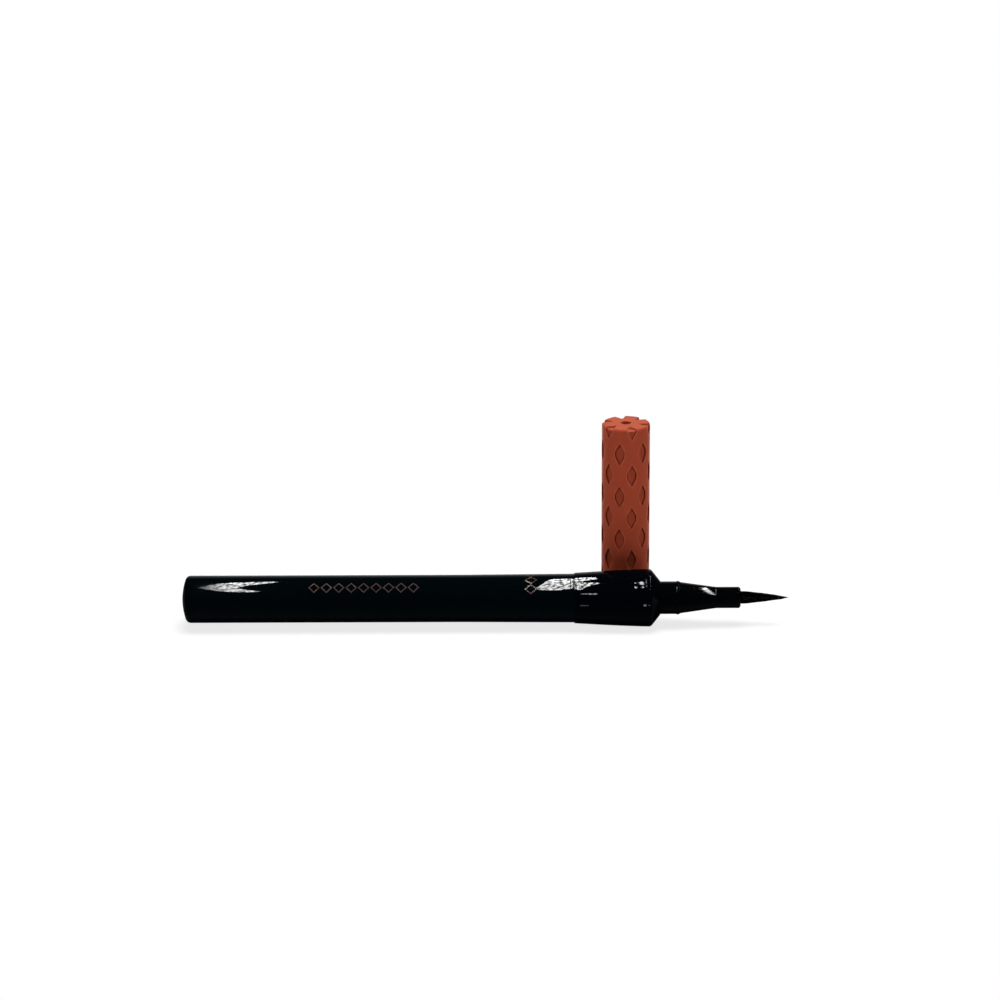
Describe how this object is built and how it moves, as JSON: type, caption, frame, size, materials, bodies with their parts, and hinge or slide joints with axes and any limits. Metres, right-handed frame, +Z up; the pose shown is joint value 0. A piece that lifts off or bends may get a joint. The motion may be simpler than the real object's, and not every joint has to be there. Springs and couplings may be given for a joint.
{
  "type": "liquid eyeliner pen",
  "caption": "Slim glossy pen with a flared collar, a stepped nose and a fine tapered brush, lying beside its upright cap with a lozenge grip relief and a sprung inner cap.",
  "frame": {"origin": "on the ground, under the middle of the bounding box of pen and cap", "axes": "+X along the pen towards the brush tip, +Z up, +Y from the pen towards the standing cap"},
  "size_m": [0.1263, 0.0226, 0.0406],
  "materials": {
    "barrel_shell": "glossy near-black moulding",
    "ink_tank": "translucent moulding",
    "tank_stopper": "natural moulding",
    "mixing_ball": "polished steel",
    "feed_bush": "natural moulding",
    "tank_seal_ring": "black rubber",
    "front_seal_ring": "black rubber",
    "collector": "natural moulding",
    "relay_core": "porous fibre rod wet with ink",
    "collar": "glossy near-black moulding",
    "nose_cone": "glossy near-black moulding",
    "brush_pipe": "black moulding",
    "brush_ferrule": "satin",
    "brush_bundle": "fine tapered filaments, black with ink",
    "cap_sleeve": "soft-touch coral",
    "cap_liner": "black moulding",
    "spring_seat": "black moulding",
    "inner_cap_spring": "drawn wire",
    "inner_cap": "natural moulding"
  },
  "bodies": {
    "pen": {"barrel_shell": "barrel_shell", "ink_tank": "ink_tank", "tank_stopper": "tank_stopper", "feed_bush": "feed_bush", "tank_seal_ring": "tank_seal_ring", "front_seal_ring": "front_seal_ring", "collector": "collector", "relay_core": "relay_core", "collar": "collar", "nose_cone": "nose_cone", "brush_pipe": "brush_pipe", "brush_ferrule": "brush_ferrule", "brush_bundle": "brush_bundle"},
    "ball": {"mixing_ball": "mixing_ball"},
    "cap": {"cap_sleeve": "cap_sleeve", "cap_liner": "cap_liner", "spring_seat": "spring_seat", "inner_cap_spring": "inner_cap_spring"},
    "sealing_cap": {"inner_cap": "inner_cap"}
  },
  "joints": [
    {"name": "cap_lift", "type": "slide", "parent": "pen", "child": "cap", "axis": [0, 0, 1], "range_m": [0, 0.06]},
    {"name": "inner_cap_slide", "type": "slide", "parent": "cap", "child": "sealing_cap", "axis": [0, 0, 1], "range_m": [0, 0.0012], "stiffness_N_per_m": 200, "springref_m": -0.003, "deforming": ["inner_cap_spring"]},
    {"name": "mixing_ball_roll", "type": "slide", "parent": "pen", "child": "ball", "axis": [1, 0, 0], "range_m": [0, 0.0556]}
  ]
}
